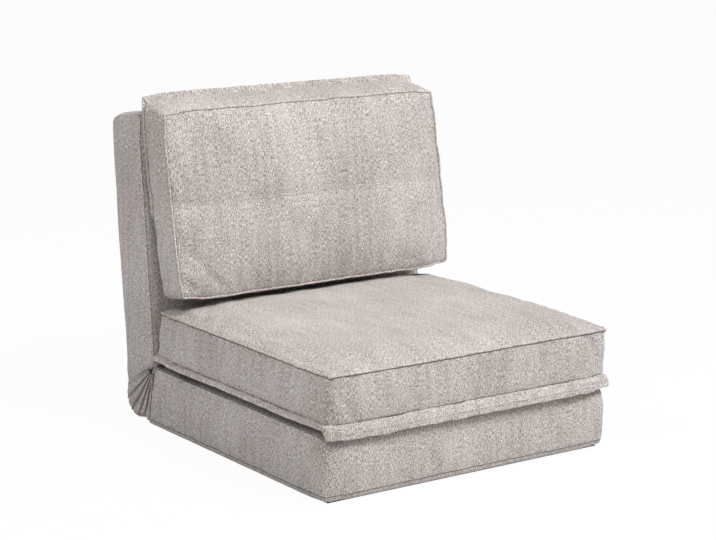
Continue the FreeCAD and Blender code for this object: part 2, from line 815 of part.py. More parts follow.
def cushion_points(rise, stand_in):
    half = cushion_width / 2 - stand_in
    return rectangle(-half, half, stand_in, cushion_height(cushion_thickness - rise) - stand_in)


def cushion_channel_cut(inset):
    # A stitched line across the front, between two rolls of stuffing
    face = inset - cushion_crown
    deep = face + cushion_channel + 0.5 * inset
    half, mid = cushion_channel_width / 2, cushion_front_height / 2
    place = in_side(-far)
    edges = []
    for way in (-1, 1):
        edges.append(arc(place(face, mid + way * half), place(face + 0.25 * cushion_channel, mid + way * half / 2),
                         place(deep, mid)))
        edges.append(line(place(face, mid + way * half), place(face - far, mid + way * half)))
    edges.append(line(place(face - far, mid - half), place(face - far, mid + half)))
    return Part.Face(Part.Wire(Part.sortEdges(edges)[0])).extrude(vec(2 * far, 0, 0))


def cushion_form(inset):
    crowns = crown_rings(inset, cushion_front_height / 2, cushion_crown, cushion_thickness)
    whole = stuffed_form(cushion_points, lambda rise: in_front(cushion_thickness - rise), inset, cushion_corner_radius,
                         cushion_draw, cushion_thickness, crowns, [])
    return whole.cut(cushion_channel_cut(inset))


def make_back_cushion():
    outer = cushion_form(0)
    # The stitched line at mid height parts the stuffing into an upper and a lower chamber
    split = cushion_front_height / 2
    above = box(-far, far, -far, far, split, 2 * far)
    below = box(-far, far, -far, far, -far, split)
    cover = outer.cut(cushion_form(cloth))
    fill = cushion_form(cloth + stuffing_ease)
    save("cushion_cover_upper", place_cushion(cover.common(above)))
    save("cushion_cover_lower", place_cushion(cover.common(below)))
    save("cushion_fill_upper", place_cushion(fill.common(above)))
    save("cushion_fill_lower", place_cushion(fill.common(below)))

    corner = cushion_corner_radius
    ring = seam_band(cushion_points(cushion_thickness, 0), [corner] * 4, in_front(-welt_height), vec(0, welt_height, 0))
    save("cushion_welt_upper", place_cushion(ring.common(above)))
    save("cushion_welt_lower", place_cushion(ring.common(below)))

    # The rear seam's flange stands up along the top
    half, top = cushion_points(0, 0)[2]
    t = flange_thickness
    flange = prism(rectangle(-half, half, split, top + cushion_flange), [0, 0, corner, corner],
                   in_front(cushion_thickness - t), vec(0, t, 0)).cut(outer)
    save("cushion_flange", place_cushion(flange))

    strip = zip_strip(cushion_thickness, split + 6 * zip_width)
    save("cushion_zip", place_cushion(strip))


cushion_tilt = math.radians(cushion_lean)
hanger_out = hinge_cord_radius + ease
hanger_y = (cushion_foot_y + cushion_rear_height * math.sin(cushion_tilt)
            + (cushion_thickness + hanger_out) * math.cos(cushion_tilt))
hanger_z = (cushion_foot_z + cushion_rear_height * math.cos(cushion_tilt)
            - (cushion_thickness + hanger_out) * math.sin(cushion_tilt))


def make_hanger():
    # A cloth strap sewn to the back's top edge ends in a cord, on which the cushion turns
    half = cushion_width / 2 - cushion_corner_radius - 20
    cord = side_rod(hinge_cord_radius, hanger_y, hanger_z, -half, half)
    t = hinge_cord_radius / 2
    foot = back_point(back_length, back_thickness / 2 - back_front_radius - 2 * t)
    place = in_side(-half)
    corners = [place(foot[0] - t, foot[1] - t), place(foot[0] + t, foot[1] - t),
               place(hanger_y + t, hanger_z), place(hanger_y - t, hanger_z)]
    strap = Part.Face(Part.makePolygon(corners + corners[:1])).extrude(vec(2 * half, 0, 0))
    save("cushion_hanger", fused([cord, strap.cut(lean_back(back_form(0)))]))


make_base()
make_base_frame()
make_hinges()
make_elbow()
make_back()
make_seat()
make_seat_hinge()
make_back_cushion()
make_hanger()
print("recline axis", round(axis_y, 2), round(axis_z, 2))
print("seat axis", round(seat_axis_y, 2), round(seat_axis_z, 2))
print("cushion axis", round(hanger_y, 2), round(hanger_z, 2))
print("pawl axis", round(pawl_point.y, 2), round(pawl_point.z, 2))
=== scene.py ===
import json
import math

import bmesh
import bpy
from mathutils import Euler, Matrix, Vector


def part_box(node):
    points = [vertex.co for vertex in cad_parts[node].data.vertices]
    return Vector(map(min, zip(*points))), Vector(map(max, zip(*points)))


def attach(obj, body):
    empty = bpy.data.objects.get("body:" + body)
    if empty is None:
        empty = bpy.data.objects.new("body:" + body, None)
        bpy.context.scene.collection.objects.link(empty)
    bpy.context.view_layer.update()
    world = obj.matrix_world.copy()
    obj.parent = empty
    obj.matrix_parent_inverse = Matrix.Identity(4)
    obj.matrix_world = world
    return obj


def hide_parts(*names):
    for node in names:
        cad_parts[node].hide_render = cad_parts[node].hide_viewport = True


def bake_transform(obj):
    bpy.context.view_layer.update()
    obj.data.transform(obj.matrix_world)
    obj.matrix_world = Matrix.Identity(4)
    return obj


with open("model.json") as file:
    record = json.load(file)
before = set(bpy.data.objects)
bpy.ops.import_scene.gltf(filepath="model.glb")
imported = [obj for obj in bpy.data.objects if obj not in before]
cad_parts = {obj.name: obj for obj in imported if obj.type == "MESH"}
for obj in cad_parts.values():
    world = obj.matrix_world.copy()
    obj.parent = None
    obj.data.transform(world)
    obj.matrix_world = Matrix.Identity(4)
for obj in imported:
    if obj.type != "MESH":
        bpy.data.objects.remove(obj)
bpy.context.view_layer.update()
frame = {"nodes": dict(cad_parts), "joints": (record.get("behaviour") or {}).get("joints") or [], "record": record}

# Convertible chair bed in coarse greige cloth: base, gathered elbow, back panel, boxed seat
# cushion with its wide lower flange, and a hung back cushion with one sewn channel.

near = 1e-4  # places this close count as one


# Camera, floor and light

camera = {"place": (-2.7018, -3.5992, 1.3527), "azimuth": -36.73, "height": 12.67, "roll": 1.15,
          "focalPixels": 2248.8, "framePixels": 716, "sensor": 36.0, "clip": (0.05, 40)}
studio = {"world": 0.3, "key": 92.0, "keyPlace": (0.96, -1.76, 2.8), "keySize": 1.3,
          "fill": 21.0, "fillPlace": (-1.95, -0.15, 2.2), "fillSize": 0.9, "target": (0, 0, 0.3),
          "floorGlow": 0.96, "floorShade": 0.82, "floorSize": 44.0, "floorDrop": 0.0005}


def makeCamera():
    data = bpy.data.cameras.new("photoCamera")
    data.sensor_width = camera["sensor"]
    data.lens = camera["focalPixels"] / camera["framePixels"] * camera["sensor"]
    data.clip_start, data.clip_end = camera["clip"]
    view = bpy.data.objects.new("photoCamera", data)
    bpy.context.scene.collection.objects.link(view)
    turn = Euler((math.radians(90 - camera["height"]), 0, math.radians(camera["azimuth"]))).to_matrix()
    turn = turn @ Matrix.Rotation(math.radians(camera["roll"]), 3, "Z")
    view.matrix_world = Matrix.Translation(camera["place"]) @ turn.to_4x4()
    bpy.context.scene.camera = view


def makeLamp(name, power, place, size):
    data = bpy.data.lights.new(name, "AREA")
    data.energy, data.size = power, size
    lamp = bpy.data.objects.new(name, data)
    bpy.context.scene.collection.objects.link(lamp)
    lamp.location = place
    lamp.rotation_euler = (Vector(studio["target"]) - Vector(place)).to_track_quat("-Z", "Y").to_euler()


# Materials

class Value:
    # One output of a shader node. Sums on it add Math nodes.
    def __init__(self, finish, socket):
        self.finish, self.socket = finish, socket

    def maths(self, operation, other, turned=False):
        terms = (other, self) if turned else (self, other)
        return self.finish.add("Math", {"operation": operation}, dict(enumerate(terms)))

    def __add__(self, other):
        return self.maths("ADD", other)

    def __mul__(self, other):
        return self.maths("MULTIPLY", other)

    def __sub__(self, other):
        return self.maths("SUBTRACT", other)

    def __rsub__(self, other):
        return self.maths("SUBTRACT", other, turned=True)

    __radd__ = __add__
    __rmul__ = __mul__


class Finish:
    # A material or a world that is built node by node
    def __init__(self, name, kind="Material"):
        self.kind = kind
        self.owner = {"Material": bpy.data.materials, "World": bpy.data.worlds}[kind].new(name)
        self.owner.use_nodes = True
        self.tree = self.owner.node_tree
        self.tree.nodes.clear()

    def feed(self, socket, source):
        if isinstance(source, Value):
            self.tree.links.new(source.socket, socket)
        else:
            socket.default_value = source

    def add(self, kind, settings=None, inputs=None, output=0):
        node = self.tree.nodes.new("ShaderNode" + kind)
        for name, setting in (settings or {}).items():
            if name == "stops":
                ramp = node.color_ramp
                while len(ramp.elements) < len(setting):
                    ramp.elements.new(0.5)
                for element, (position, colour) in zip(ramp.elements, setting):
                    element.position, element.color = position, (*colour, 1)
            else:
                setattr(node, name, setting)
        for name, source in (inputs or {}).items():
            self.feed(node.inputs[name], source)
        return Value(self, node.outputs[output])

    def surface(self, shader):
        out = self.tree.nodes.new("ShaderNodeOutput" + self.kind)
        self.feed(out.inputs["Surface"], shader)
        return self.owner


def linear(*channels):
    # A colour as it looks on a screen, from 0 to 255, in the shader's own linear units
    shares = [channel / 255 for channel in channels]
    return tuple(s / 12.92 if s <= 0.04045 else ((s + 0.055) / 1.055) ** 2.4 for s in shares)


greige = {"dark": (104, 93, 86), "mid": (193, 184, 179), "light": (243, 239, 236),
          "stops": (0.422, 0.51, 0.61), "thread": 0.0021, "streak": 0.0072, "fleck": 0.0016,
          "band": (0.011, 0.09), "patch": (0.16, 0.22),
          "shares": {"streaks": 0.42, "flecks": 0.4, "lint": 0.24, "tone": 0.06, "bands": 0.055,
                     "threads": 0.09},
          "relief": 0.0007, "bump": 0.85, "rough": 0.92, "gleam": 0.18, "sheen": 0.22, "sheenRough": 0.5}


def upholstery(name, shade=1.0, relief=1.0):
    cloth = Finish(name)
    weave = cloth.add("UVMap", {"uv_map": "weave"})
    shares = greige["shares"]

    def grain(across, along, detail, rough, turn=0.0):
        spot = cloth.add("Mapping", None, {"Vector": weave, "Scale": (1 / across, 1 / along, 1),
                                           "Rotation": (0, 0, turn)})
        return cloth.add("TexNoise", {"noise_dimensions": "2D"},
                         {"Vector": spot, "Scale": 1.0, "Detail": detail, "Roughness": rough})

    streaks = grain(greige["fleck"] * 0.8, greige["streak"], 3.0, 0.65)
    flecks = grain(greige["fleck"], greige["fleck"] * 1.9, 2.0, 0.7, 0.06)
    lint = grain(greige["fleck"] * 0.45, greige["fleck"] * 0.6, 2.0, 0.7)
    tone = grain(*greige["patch"], 2.0, 0.5)
    bands = grain(*greige["band"], 1.0, 0.5)
    mixed = streaks * shares["streaks"] + flecks * shares["flecks"] + lint * shares["lint"]
    mixed = mixed + tone * shares["tone"] - 0.03 - shares["tone"] / 2
    mixed = mixed + (bands - 0.5) * shares["bands"]
    # A plain weave: warp and weft threads rise and fall by turns
    spot = cloth.add("Mapping", None, {"Vector": weave,
                                       "Scale": (1 / greige["thread"], 1 / greige["thread"], 1)})

    def yarn(direction):
        stripes = {"wave_type": "BANDS", "bands_direction": direction, "wave_profile": "SIN"}
        return cloth.add("TexWave", stripes, {"Vector": spot, "Scale": 0.31, "Distortion": 1.6, "Detail": 1.0,
                                              "Detail Scale": 0.8}, output=1)

    threads = yarn("X").maths("MAXIMUM", yarn("Y") * 0.9)
    mixed = mixed + (threads - 0.6) * shares["threads"]
    colour = cloth.add("ValToRGB", {"stops": [
        (place, tuple(c * shade for c in linear(*greige[tint])))
        for place, tint in zip(greige["stops"], ("dark", "mid", "light"))]}, {"Fac": mixed})
    height = threads * 0.5 + flecks * 0.55 + lint * 0.35
    bump = cloth.add("Bump", None, {"Strength": greige["bump"] * relief, "Distance": greige["relief"],
                                    "Height": height})
    shader = cloth.add("BsdfPrincipled", None, {
        "Base Color": colour, "Roughness": greige["rough"], "Specular IOR Level": greige["gleam"],
        "Sheen Weight": greige["sheen"], "Sheen Roughness": greige["sheenRough"], "Normal": bump})
    return cloth.surface(shader)


def plainFinish(name, colour, rough, metal, grainSize, spread, bumpDepth=0.0002):
    # Paint, plating, plastic or cloth with a fine grain of its own
    coat = Finish(name)
    place = coat.add("TexCoord", output="Object")
    grain = coat.add("TexNoise", None, {"Vector": place, "Scale": 1 / grainSize, "Detail": 3.0})
    wear = coat.add("TexNoise", None, {"Vector": place, "Scale": 0.08 / grainSize, "Detail": 2.0})
    mixed = grain * 0.6 + wear * 0.4
    base = linear(*colour)
    shades = coat.add("ValToRGB", {"stops": [
        (0.3, tuple(c * (1 - spread) for c in base)),
        (0.7, tuple(min(1.0, c * (1 + spread)) for c in base))]},
        {"Fac": mixed})
    bump = coat.add("Bump", None, {"Strength": 0.6, "Distance": bumpDepth, "Height": grain})
    shader = coat.add("BsdfPrincipled", None, {
        "Base Color": shades, "Roughness": rough + (wear - 0.5) * 0.2, "Metallic": metal, "Normal": bump})
    return coat.surface(shader)


# Working on a piece as by hand

def clearChoice():
    if bpy.context.object and bpy.context.object.mode != "OBJECT":
        bpy.ops.object.mode_set(mode="OBJECT")
    bpy.ops.object.select_all(action="DESELECT")


def focus(piece):
    clearChoice()
    piece.select_set(True)
    bpy.context.view_layer.objects.active = piece


def choose(piece, kind, test):
    # Selects the vertices, edges or faces that pass the test, and stays in edit mode
    if piece.mode != "EDIT":
        focus(piece)
        bpy.ops.object.mode_set(mode="EDIT")
    bpy.ops.mesh.select_mode(type=kind)
    bpy.ops.mesh.select_all(action="DESELECT")
    mesh = bmesh.from_edit_mesh(piece.data)
    for part in {"VERT": mesh.verts, "EDGE": mesh.edges, "FACE": mesh.faces}[kind]:
        if test(part):
            part.select_set(True)
    mesh.select_flush_mode()
    bmesh.update_edit_mesh(piece.data)


def chooseAll(piece):
    choose(piece, "VERT", lambda vertex: True)


def picked(piece):
    # The numbers of the vertices that an extrusion has just left selected
    mesh = bmesh.from_edit_mesh(piece.data)
    mesh.verts.index_update()
    return {vertex.index for vertex in mesh.verts if vertex.select}


def leave(piece):
    bpy.ops.object.mode_set(mode="OBJECT")
    return piece


def useModifier(piece, name, kind, **settings):
    focus(piece)
    modifier = piece.modifiers.new(name, kind)
    for key, setting in settings.items():
        setattr(modifier, key, setting)
    bpy.ops.object.modifier_apply(modifier=name)


def settle(piece):
    # The place and turn of the object go into its mesh
    focus(piece)
    bpy.ops.object.transform_apply(location=True, rotation=True, scale=True)


def gridBlock(name, low, high, spacing):
    # A box of even quads
    low, high = Vector(low), Vector(high)
    size = high - low
    clearChoice()
    bpy.ops.mesh.primitive_cube_add(size=1, location=(low + high) / 2, scale=size)
    block = bpy.context.object
    block.name = block.data.name = name
    settle(block)
    for axis in range(3):
        def along(edge):
            run = edge.verts[1].co - edge.verts[0].co
            return abs(run[axis]) > 0.99 * run.length
        choose(block, "EDGE", along)
        bpy.ops.mesh.subdivide(number_cuts=max(1, round(size[axis] / spacing) - 1))
    return leave(block)


def edgeLine(name, half, place, cuts=39):
    # A line of points across the object, ready to be extruded
    clearChoice()
    bpy.ops.mesh.primitive_plane_add(size=1, location=(0, 0, 0))
    line = bpy.context.object
    line.name = line.data.name = name
    choose(line, "VERT", lambda vertex: vertex.co.y < 0)
    bpy.ops.mesh.delete(type="VERT")
    chooseAll(line)
    bpy.ops.transform.resize(value=(2 * half, 0, 0), center_override=(0, 0.5, 0))
    bpy.ops.transform.translate(value=place - Vector((0, 0.5, 0)))
    bpy.ops.mesh.subdivide(number_cuts=cuts)
    return line


def numbersOf(piece, test):
    return [vertex.index for vertex in piece.data.vertices if test(vertex.co)]


def markLoop(piece, name, test):
    group = piece.vertex_groups.new(name=name)
    found = numbersOf(piece, test)
    group.add(found, 1.0, "REPLACE")
    return found


def keepLoop(piece, name, groupName):
    # A copy of the piece with nothing left but one marked loop
    index = piece.vertex_groups[groupName].index
    marked = {vertex.index for vertex in piece.data.vertices
              if any(share.group == index and share.weight > 0.99 for share in vertex.groups)}
    focus(piece)
    bpy.ops.object.duplicate()
    loop = bpy.context.object
    loop.name = loop.data.name = name
    choose(loop, "VERT", lambda vertex: vertex.index not in marked)
    bpy.ops.mesh.delete(type="VERT")
    return leave(loop)


def soften(piece, rounding, axes, test):
    # Rounds an edge by smoothing the vertices within reach of it, but not along it
    reach, times = rounding
    choose(piece, "VERT", lambda vertex: test(vertex.co, reach))
    bpy.ops.mesh.vertices_smooth(factor=0.5, repeat=times, xaxis="x" in axes, yaxis="y" in axes,
                                 zaxis="z" in axes)
    leave(piece)


def slant(piece, rowAxis, low, high, growAxis, still, growth):
    # Row after row grows a little more along one axis, away from a place that stays
    rows = sorted({round(vertex.co[rowAxis], 5) for vertex in piece.data.vertices})
    for row in rows[1:]:
        share = (row - low) / (high - low)
        value, centre = [1, 1, 1], [0, 0, 0]
        value[growAxis] = 1 + growth * share
        centre[rowAxis], centre[growAxis] = row, still
        choose(piece, "VERT", lambda vertex: abs(vertex.co[rowAxis] - row) < near)
        bpy.ops.transform.resize(value=value, center_override=centre)
    leave(piece)


stuffing = {"quality": 4, "mass": 0.25, "shear": 0.4, "damping": 2.0, "flatCap": 0.002}
lumpSizes = {"broadLumps": 0.1, "puckers": 0.024}


def stuff(piece, held, setting):
    # Swells the cover between its held seams. Far points are held back, as by the foam's own shape.
    rest = [vertex.co.copy() for vertex in piece.data.vertices]
    group = piece.vertex_groups.new(name="held")
    group.add(sorted(set(held)), 1.0, "REPLACE")
    focus(piece)
    modifier = piece.modifiers.new("stuffing", "CLOTH")
    cloth = modifier.settings
    cloth.quality = stuffing["quality"]
    cloth.mass = stuffing["mass"]
    cloth.tension_stiffness = cloth.compression_stiffness = setting["stretch"]
    cloth.shear_stiffness = setting["stretch"] * stuffing["shear"]
    cloth.bending_stiffness = setting["bend"]
    cloth.air_damping = stuffing["damping"]
    cloth.use_pressure = True
    cloth.uniform_pressure_force = setting["pressure"]
    cloth.shrink_min = -setting["spare"]
    cloth.vertex_group_mass = "held"
    cloth.pin_stiffness = 1.0
    cloth.effector_weights.gravity = 0
    modifier.collision_settings.use_collision = False
    modifier.point_cache.frame_start, modifier.point_cache.frame_end = 1, setting["frames"]
    for step in range(1, setting["frames"] + 1):
        bpy.context.scene.frame_set(step)
    bpy.ops.object.modifier_apply(modifier="stuffing")
    widest = 0.0
    for vertex, start in zip(piece.data.vertices, rest):
        move = vertex.co - start
        cap = setting["caps"](start)
        length = move.length
        widest = max(widest, length)
        if length > 1e-7:
            vertex.co = start + move * (cap * math.tanh(length / cap) / length)
    bpy.context.scene.frame_set(1)
    print("stuffed", piece.name, len(rest), "points, widest move", round(widest, 4))


def lump(piece, still, strengths):
    # Low, uneven swells and small puckers, but none where the piece lies on another
    group = piece.vertex_groups.new(name="still")
    group.add(sorted(set(still)), 1.0, "REPLACE")
    for (name, size), strength in zip(lumpSizes.items(), strengths):
        clouds = bpy.data.textures.new(piece.name + name, "CLOUDS")
        clouds.noise_scale = size
        useModifier(piece, name, "DISPLACE", texture=clouds, texture_coords="LOCAL", strength=strength,
                    mid_level=0.5, vertex_group="still", invert_vertex_group=True)


def ripple(piece, size, strength, direction, level=0.5):
    # A low wave over the whole piece
    clouds = bpy.data.textures.new(piece.name + "Ripple", "CLOUDS")
    clouds.noise_scale = size
    useModifier(piece, "ripple", "DISPLACE", texture=clouds, texture_coords="LOCAL", direction=direction,
                strength=strength, mid_level=level)


def refine(piece):
    useModifier(piece, "smooth", "SUBSURF", levels=1, render_levels=1)


def doubled(piece, thick, edge):
    # A band gets its thickness and a soft edge
    useModifier(piece, "doubled", "SOLIDIFY", thickness=thick, offset=0)
    useModifier(piece, "edge", "BEVEL", width=edge, segments=2, limit_method="ANGLE")


def mapWeave(piece):
    # The weave lies square on every panel, level or upright
    while piece.data.uv_layers:
        piece.data.uv_layers.remove(piece.data.uv_layers[0])
    layer = piece.data.uv_layers.new(name="weave")
    mesh = piece.data
    for face in mesh.polygons:
        normal = face.normal
        if abs(normal.z) > 0.75:
            across, along = 0, 1
        elif abs(normal.x) > abs(normal.y):
            across, along = 1, 2
        else:
            across, along = 0, 2
        for corner in face.loop_indices:
            place = mesh.vertices[mesh.loops[corner].vertex_index].co
            layer.data[corner].uv = (place[across], place[along])


def paint(piece, material):
    piece.data.materials.clear()
    piece.data.materials.append(material)


def finishCloth(piece, material):
    focus(piece)
    bpy.ops.object.shade_smooth()
    mapWeave(piece)
    paint(piece, material)


# Seams

# The dark line beside each lip is stitching drawn dark as painted shade under the lip: its thickness, and how far
# it lies from the lip
seamDress = {"thread": 0.0011, "drop": 0.0032}


def loopCurve(piece, name, groupName, thick):
    # A raised seam that follows a marked loop of the piece
    focus(keepLoop(piece, name, groupName))
    bpy.ops.object.convert(target="CURVE")
    lip = bpy.context.object
    lip.data.bevel_depth = thick
    lip.data.bevel_resolution = 2
    bpy.ops.object.convert(target="MESH")
    lip = bpy.context.object
    lip.name = lip.data.name = name
    lip.vertex_groups.clear()
    focus(lip)
    bpy.ops.object.shade_smooth()
    return lip


def makeStitch(piece, name, group, thick, material, body):
    line = loopCurve(piece, name, group, thick)
    mapWeave(line)
    paint(line, material)
    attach(line, body)


def makeSeam(piece, name, group, thick, shift, body, replaced, grow=None):
    # A raised lip in the lighter seam cloth (painted highlight), with a thin dark stitched line beside it that
    # also stands for the painted shade under the lip
    for suffix, radius, offset, material in (("", thick, (0, 0, 0), litSeamCloth),
                                             ("ThreadAndShade", seamDress["thread"], shift, thread)):
        line = loopCurve(piece, name + suffix, group, radius)
        chooseAll(line)
        if grow:
            bpy.ops.transform.resize(value=grow[0], center_override=grow[1])
        bpy.ops.transform.translate(value=offset)
        leave(line)
        mapWeave(line)
        paint(line, material)
        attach(line, body)
    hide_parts(*replaced)


cover = upholstery("greigeCover")
# A copy of the cover a little lighter: painted highlight on seam lips, stitch lines, the flange, the fin and the
# small trims
litSeamCloth = upholstery("greigeSeamLit", shade=1.06, relief=0.7)
# A half-bright copy of the cover: painted shade on the slope under the seat
paintedUnderShade = upholstery("greigeShadedUnderside", shade=0.5, relief=0.7)
lining = plainFinish("darkLining", (38, 36, 36), 0.9, 0.0, 0.002, 0.3, 0.0004)
# Dark thread: real stitching along the base's hem, and painted shade in the lines under the seam lips and in the
# elbow's creases
thread = plainFinish("seamThreadAndShade", (112, 102, 95), 0.85, 0.0, 0.0012, 0.3, 0.0003)


# Seat cushion

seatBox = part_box("seat_cover")
seatSeam = {"top": (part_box("seat_top_welt")[0].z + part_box("seat_top_welt")[1].z) / 2,
            "low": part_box("seat_flange")[1].z - 0.0015}
seatDress = {"spacing": 0.0095, "rake": 0.016, "belly": 0.06, "bellySteps": 5, "bellyLift": 0.0005,
             "gussetTop": 0.004, "corner": (0.045, 5), "lip": 0.0024, "lipOut": 0.0022,
             "lumps": (0.007, 0.0028), "stretch": 14.0, "bend": 0.6, "pressure": 5.0, "spare": 0.035,
             "frames": 26, "crown": 0.027, "side": 0.007}


def makeSeat():
    dress = seatDress
    low = Vector((seatBox[0].x, seatBox[0].y, seatSeam["low"]))
    high = Vector((seatBox[1].x, seatBox[1].y, seatSeam["top"]))
    seat = gridBlock("seatCushion", low, high, dress["spacing"])
    edge, front, rear = high.x, low.y, high.y

    def onRim(place):
        return abs(abs(place.x) - edge) < near or abs(place.y - front) < near or abs(place.y - rear) < near

    top = markLoop(seat, "topSeam", lambda place: abs(place.z - high.z) < near and onRim(place))
    bottom = markLoop(seat, "lowSeam", lambda place: abs(place.z - low.z) < near and onRim(place))
    # The corners are round in plan, and the rear boxing leans forward towards the top
    soften(seat, dress["corner"], "xy", lambda place, reach: abs(place.x) > edge - reach
           and (place.y < front + reach or place.y > rear - reach))
    slant(seat, 2, low.z, high.z, 1, front, -dress["rake"] / (rear - front))
    # The underside sinks to where it rests on the base
    belly = numbersOf(seat, lambda place: abs(place.z - low.z) < near)
    drop = seatSeam["low"] - seatBox[0].z - dress["bellyLift"]
    steps = dress["bellySteps"]
    for step in range(steps):
        inset = dress["belly"] * (step + 1) / steps
        choose(seat, "VERT", lambda vertex: abs(vertex.co.x) < edge - inset and vertex.co.z < low.z + near
               and front + inset < vertex.co.y < rear - inset)
        bpy.ops.transform.translate(value=(0, 0, -drop / steps))
    leave(seat)

    def caps(place):
        if place.z > high.z - near:
            return dress["crown"]
        if place.z < low.z + near:
            return stuffing["flatCap"]
        return dress["side"]

    stuff(seat, top + bottom + belly, dict(dress, caps=caps))
    lump(seat, belly, dress["lumps"])
    refine(seat)
    finishCloth(seat, cover)
    # The slope round the underside is painted in a darker copy of the cover: painted shade for the gap between
    # seat and base
    seat.data.materials.append(paintedUnderShade)
    for face in seat.data.polygons:
        inset = min(edge - abs(face.center.x), face.center.y - front, rear - face.center.y)
        below = face.normal.z < -0.5 and face.center.z < seatSeam["low"] + dress["gussetTop"]
        if below and inset < dress["belly"]:
            face.material_index = 1
    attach(seat, "seat_cushion")
    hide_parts("seat_cover", "seat_foam")
    return seat


def makeSeatSeam(seat):
    grow = 1 + seatDress["lipOut"] / seatBox[1].x
    middle = (0, (seatBox[0].y + seatBox[1].y - seatDress["rake"]) / 2, seatSeam["top"])
    makeSeam(seat, "seatTopSeam", "topSeam", seatDress["lip"], (0, 0, -seamDress["drop"]), "seat_cushion",
             ("seat_top_welt",), ((grow, grow, 1), middle))


# The lower seam's flange: a doubled band, level at the sides and hanging over the base in front

flangeDress = {"steps": ((0.004, 0.0), (0.0085, -0.001), (0.0105, -0.004), (0.0115, -0.008)),
               "frontDrop": (0.004, 0.007, 0.006, 0.005), "frontReach": (-0.001, -0.0025, -0.0015, -0.0012),
               "bands": 10, "turn": 0.014, "turnStart": 0.005, "thick": 0.0032, "edge": 0.0012,
               "ripple": 0.006, "rippleSize": 0.045}


def makeFlange(seat):
    dress = flangeDress
    band = keepLoop(seat, "seatFlange", "lowSeam")
    front, rear, edge = seatBox[0].y, seatBox[1].y, seatBox[1].x
    middle = Vector((0, (front + rear) / 2, seatSeam["low"]))
    halfDeep = (rear - front) / 2
    out, down = 0.0, 0.0
    chooseAll(band)
    for place, (reach, level) in enumerate(dress["steps"]):
        bpy.ops.mesh.extrude_region_move()
        wider = (edge + reach) / (edge + out)
        deeper = (halfDeep + reach) / (halfDeep + out)
        bpy.ops.transform.resize(value=(wider, deeper, 1), center_override=middle)
        bpy.ops.transform.translate(value=(0, 0, level - down))
        fresh = picked(band)
        out, down = reach, level
        # The front stretch hangs, and turns up again round the corners
        for share in range(dress["bands"]):
            line = front + dress["turn"] * (1 - share / dress["bands"]) - dress["turnStart"]
            choose(band, "VERT", lambda vertex: vertex.index in fresh and vertex.co.y < line)
            bpy.ops.transform.translate(value=(0, -dress["frontReach"][place] / dress["bands"],
                                               -dress["frontDrop"][place] / dress["bands"]))
        choose(band, "VERT", lambda vertex: vertex.index in fresh)
    leave(band)
    band.vertex_groups.clear()
    refine(band)
    ripple(band, dress["rippleSize"], dress["ripple"], "Z")
    doubled(band, dress["thick"], dress["edge"])
    # The band is in the lighter seam cloth: painted highlight
    finishCloth(band, litSeamCloth)
    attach(band, "seat_cushion")
    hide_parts("seat_flange")


# Back cushion

cushionDress = {"spacing": 0.0095, "lean": 11.0, "foot": (0, 0.153, 0.288), "half": 0.344, "front": 0.38,
                "rear": 0.412, "deep": 0.078, "corner": (0.042, 8), "lip": 0.0023,
                "lipGrow": (1.0075, 1, 1.012), "lipMiddle": (0, 0.036, 0.187), "lumps": (0.007, 0.0028),
                "stretch": 12.0, "bend": 0.5, "pressure": 5.0, "spare": 0.04, "frames": 26, "crown": 0.024,
                "side": 0.008, "channel": (0.004, 0.022), "column": (0.0014, 0.012),
                "columns": (-0.115, 0.115), "stitches": {"channel": 0.001, "columns": 0.0007}}
finDress = {"steps": 3, "rise": 0.014, "spread": 0.0022, "from": 0.45, "top": 0.03, "thick": 0.003,
            "edge": 0.001, "ripple": 0.005, "rippleSize": 0.05}


def makeBackCushion():
    dress = cushionDress
    half, deep, high = dress["half"], dress["deep"], dress["front"]
    block = gridBlock("backCushion", (-half, 0, 0), (half, deep, high), dress["spacing"])

    def onRim(place):
        return abs(abs(place.x) - half) < near or place.z < near or place.z > high - near

    frontSeam = markLoop(block, "frontSeam", lambda place: place.y < near and onRim(place))
    rearSeam = markLoop(block, "rearSeam", lambda place: place.y > deep - near and onRim(place))
    back = numbersOf(block, lambda place: place.y > deep - near)
    # The channel and the two upright lines follow the rows of points that lie nearest to them
    rowGap = min(abs(vertex.co.z - high / 2) for vertex in block.data.vertices if vertex.co.y < near)
    markLoop(block, "channel", lambda place: place.y < near and abs(place.z - high / 2) < rowGap + near)
    margin = 0.6 * dress["spacing"]
    across = {round(vertex.co.x, 5) for vertex in block.data.vertices}
    lines = [min(across, key=lambda x: abs(x - column)) for column in dress["columns"]]
    markLoop(block, "columns", lambda place: place.y < near and margin < place.z < high - margin
             and min(abs(place.x - line) for line in lines) < near)
    soften(block, dress["corner"], "xz", lambda place, reach: abs(place.x) > half - reach
           and (place.z < reach or place.z > high - reach))
    # The top boxing climbs to the rear
    slant(block, 1, 0, deep, 2, 0, dress["rear"] / dress["front"] - 1)

    def caps(place):
        if place.y < near:
            return dress["crown"]
        if place.y > deep - near:
            return stuffing["flatCap"]
        return dress["side"]

    stuff(block, frontSeam + rearSeam + back, dict(dress, caps=caps))
    lump(block, back, dress["lumps"])
    # The stitched line draws the front in, and two lighter ones run up and down
    dent(block, lambda place: abs(place.z - high / 2), *dress["channel"])
    for column in dress["columns"]:
        dent(block, lambda place: abs(place.x - column), *dress["column"])
    block.rotation_euler = (-math.radians(dress["lean"]), 0, 0)
    block.location = dress["foot"]
    settle(block)
    refine(block)
    finishCloth(block, cover)
    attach(block, "back_cushion")
    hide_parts("cushion_cover_upper", "cushion_cover_lower", "cushion_fill_upper",
                "cushion_fill_lower")
    return block


dentShape = {"reach": 2, "fall": 1.6, "edge": 1.3, "full": 0.012}


